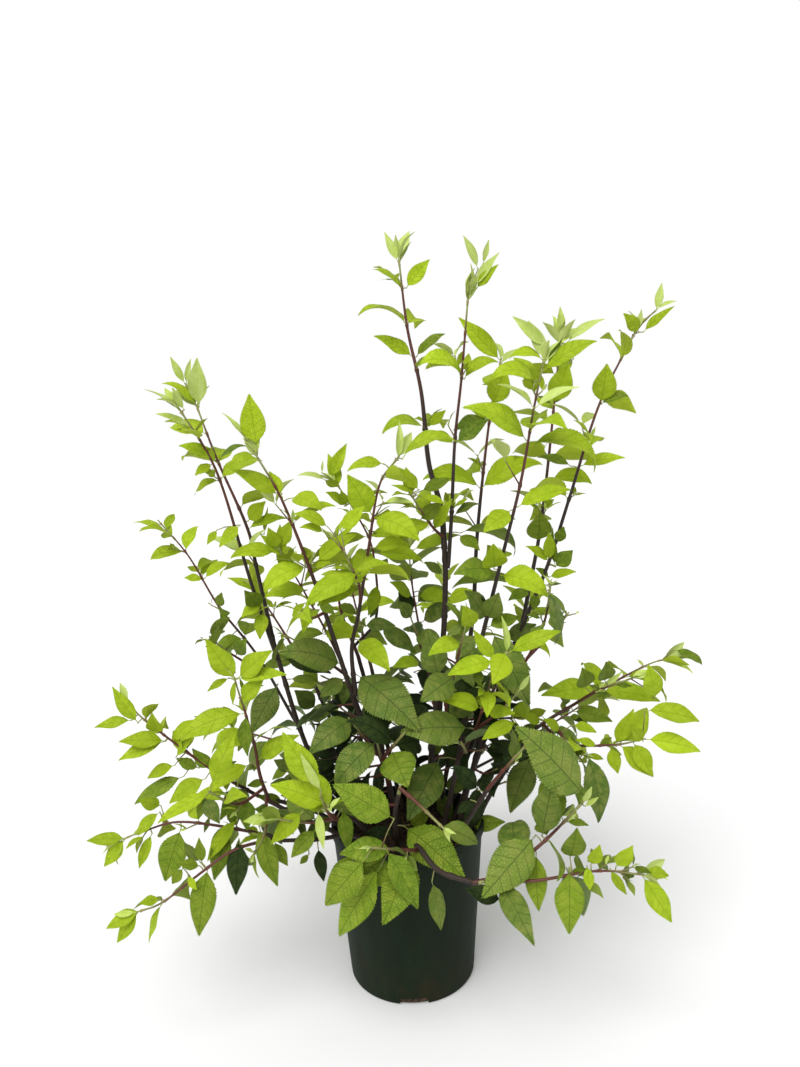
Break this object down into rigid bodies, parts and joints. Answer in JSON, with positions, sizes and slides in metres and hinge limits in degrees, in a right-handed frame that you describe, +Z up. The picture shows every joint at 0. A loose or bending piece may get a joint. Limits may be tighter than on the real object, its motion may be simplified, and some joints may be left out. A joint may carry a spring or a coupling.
{
  "type": "potted deutzia shrub",
  "caption": "Young flowering shrub out of bloom, with upright leafy canes and low arching shoots, in a round dark nursery pot filled with soil.",
  "frame": {"origin": "centre of the pot's flat underside, where it stands on the floor", "axes": "+Z up, the front of the plant faces -Y, +X to the right as seen from the front"},
  "size_m": [0.7483, 0.5671, 0.9166],
  "materials": {
    "pot": "matte",
    "soil": "matte",
    "bark": "matte",
    "foliage": "satin"
  },
  "bodies": {
    "root": {"branch_back_left": "bark", "branch_back_mid": "bark", "branch_back_outer": "bark", "branch_back_right": "bark", "branch_front": "bark", "branch_front_left": "bark", "branch_left_hanging": "bark", "branch_left_low": "bark", "branch_left_mid": "bark", "branch_right_front": "bark", "branch_right_low": "bark", "branch_right_mid": "bark", "cane_back": "bark", "cane_left": "bark", "cane_left_inner": "bark", "cane_mid_right": "bark", "cane_right_back": "bark", "cane_right_front": "bark", "cane_right_outer": "bark", "foliage_back_left": "foliage", "foliage_back_left_low": "foliage", "foliage_back_low": "foliage", "foliage_back_mid": "foliage", "foliage_back_outer": "foliage", "foliage_back_right": "foliage", "foliage_back_right_low": "foliage", "foliage_back_upright": "foliage", "foliage_cane_left": "foliage", "foliage_cane_left_inner": "foliage", "foliage_cane_left_thin": "foliage", "foliage_cane_mid_right": "foliage", "foliage_cane_right_back": "foliage", "foliage_cane_right_front": "foliage", "foliage_cane_right_outer": "foliage", "foliage_centre_front": "foliage", "foliage_front": "foliage", "foliage_front_left": "foliage", "foliage_front_low": "foliage", "foliage_inner_front": "foliage", "foliage_inner_left": "foliage", "foliage_inner_right": "foliage", "foliage_left_low": "foliage", "foliage_left_middle": "foliage", "foliage_left_upper": "foliage", "foliage_left_upright": "foliage", "foliage_mid_centre": "foliage", "foliage_mid_left": "foliage", "foliage_right_back_low": "foliage", "foliage_right_dark": "foliage", "foliage_right_front": "foliage", "foliage_right_low": "foliage", "foliage_right_middle": "foliage", "foliage_top": "foliage", "foliage_top_right": "foliage", "foliage_trunk_left": "foliage", "pot": "pot", "soil": "soil", "trunk_left": "bark", "trunk_right": "bark"}
  },
  "joints": []
}
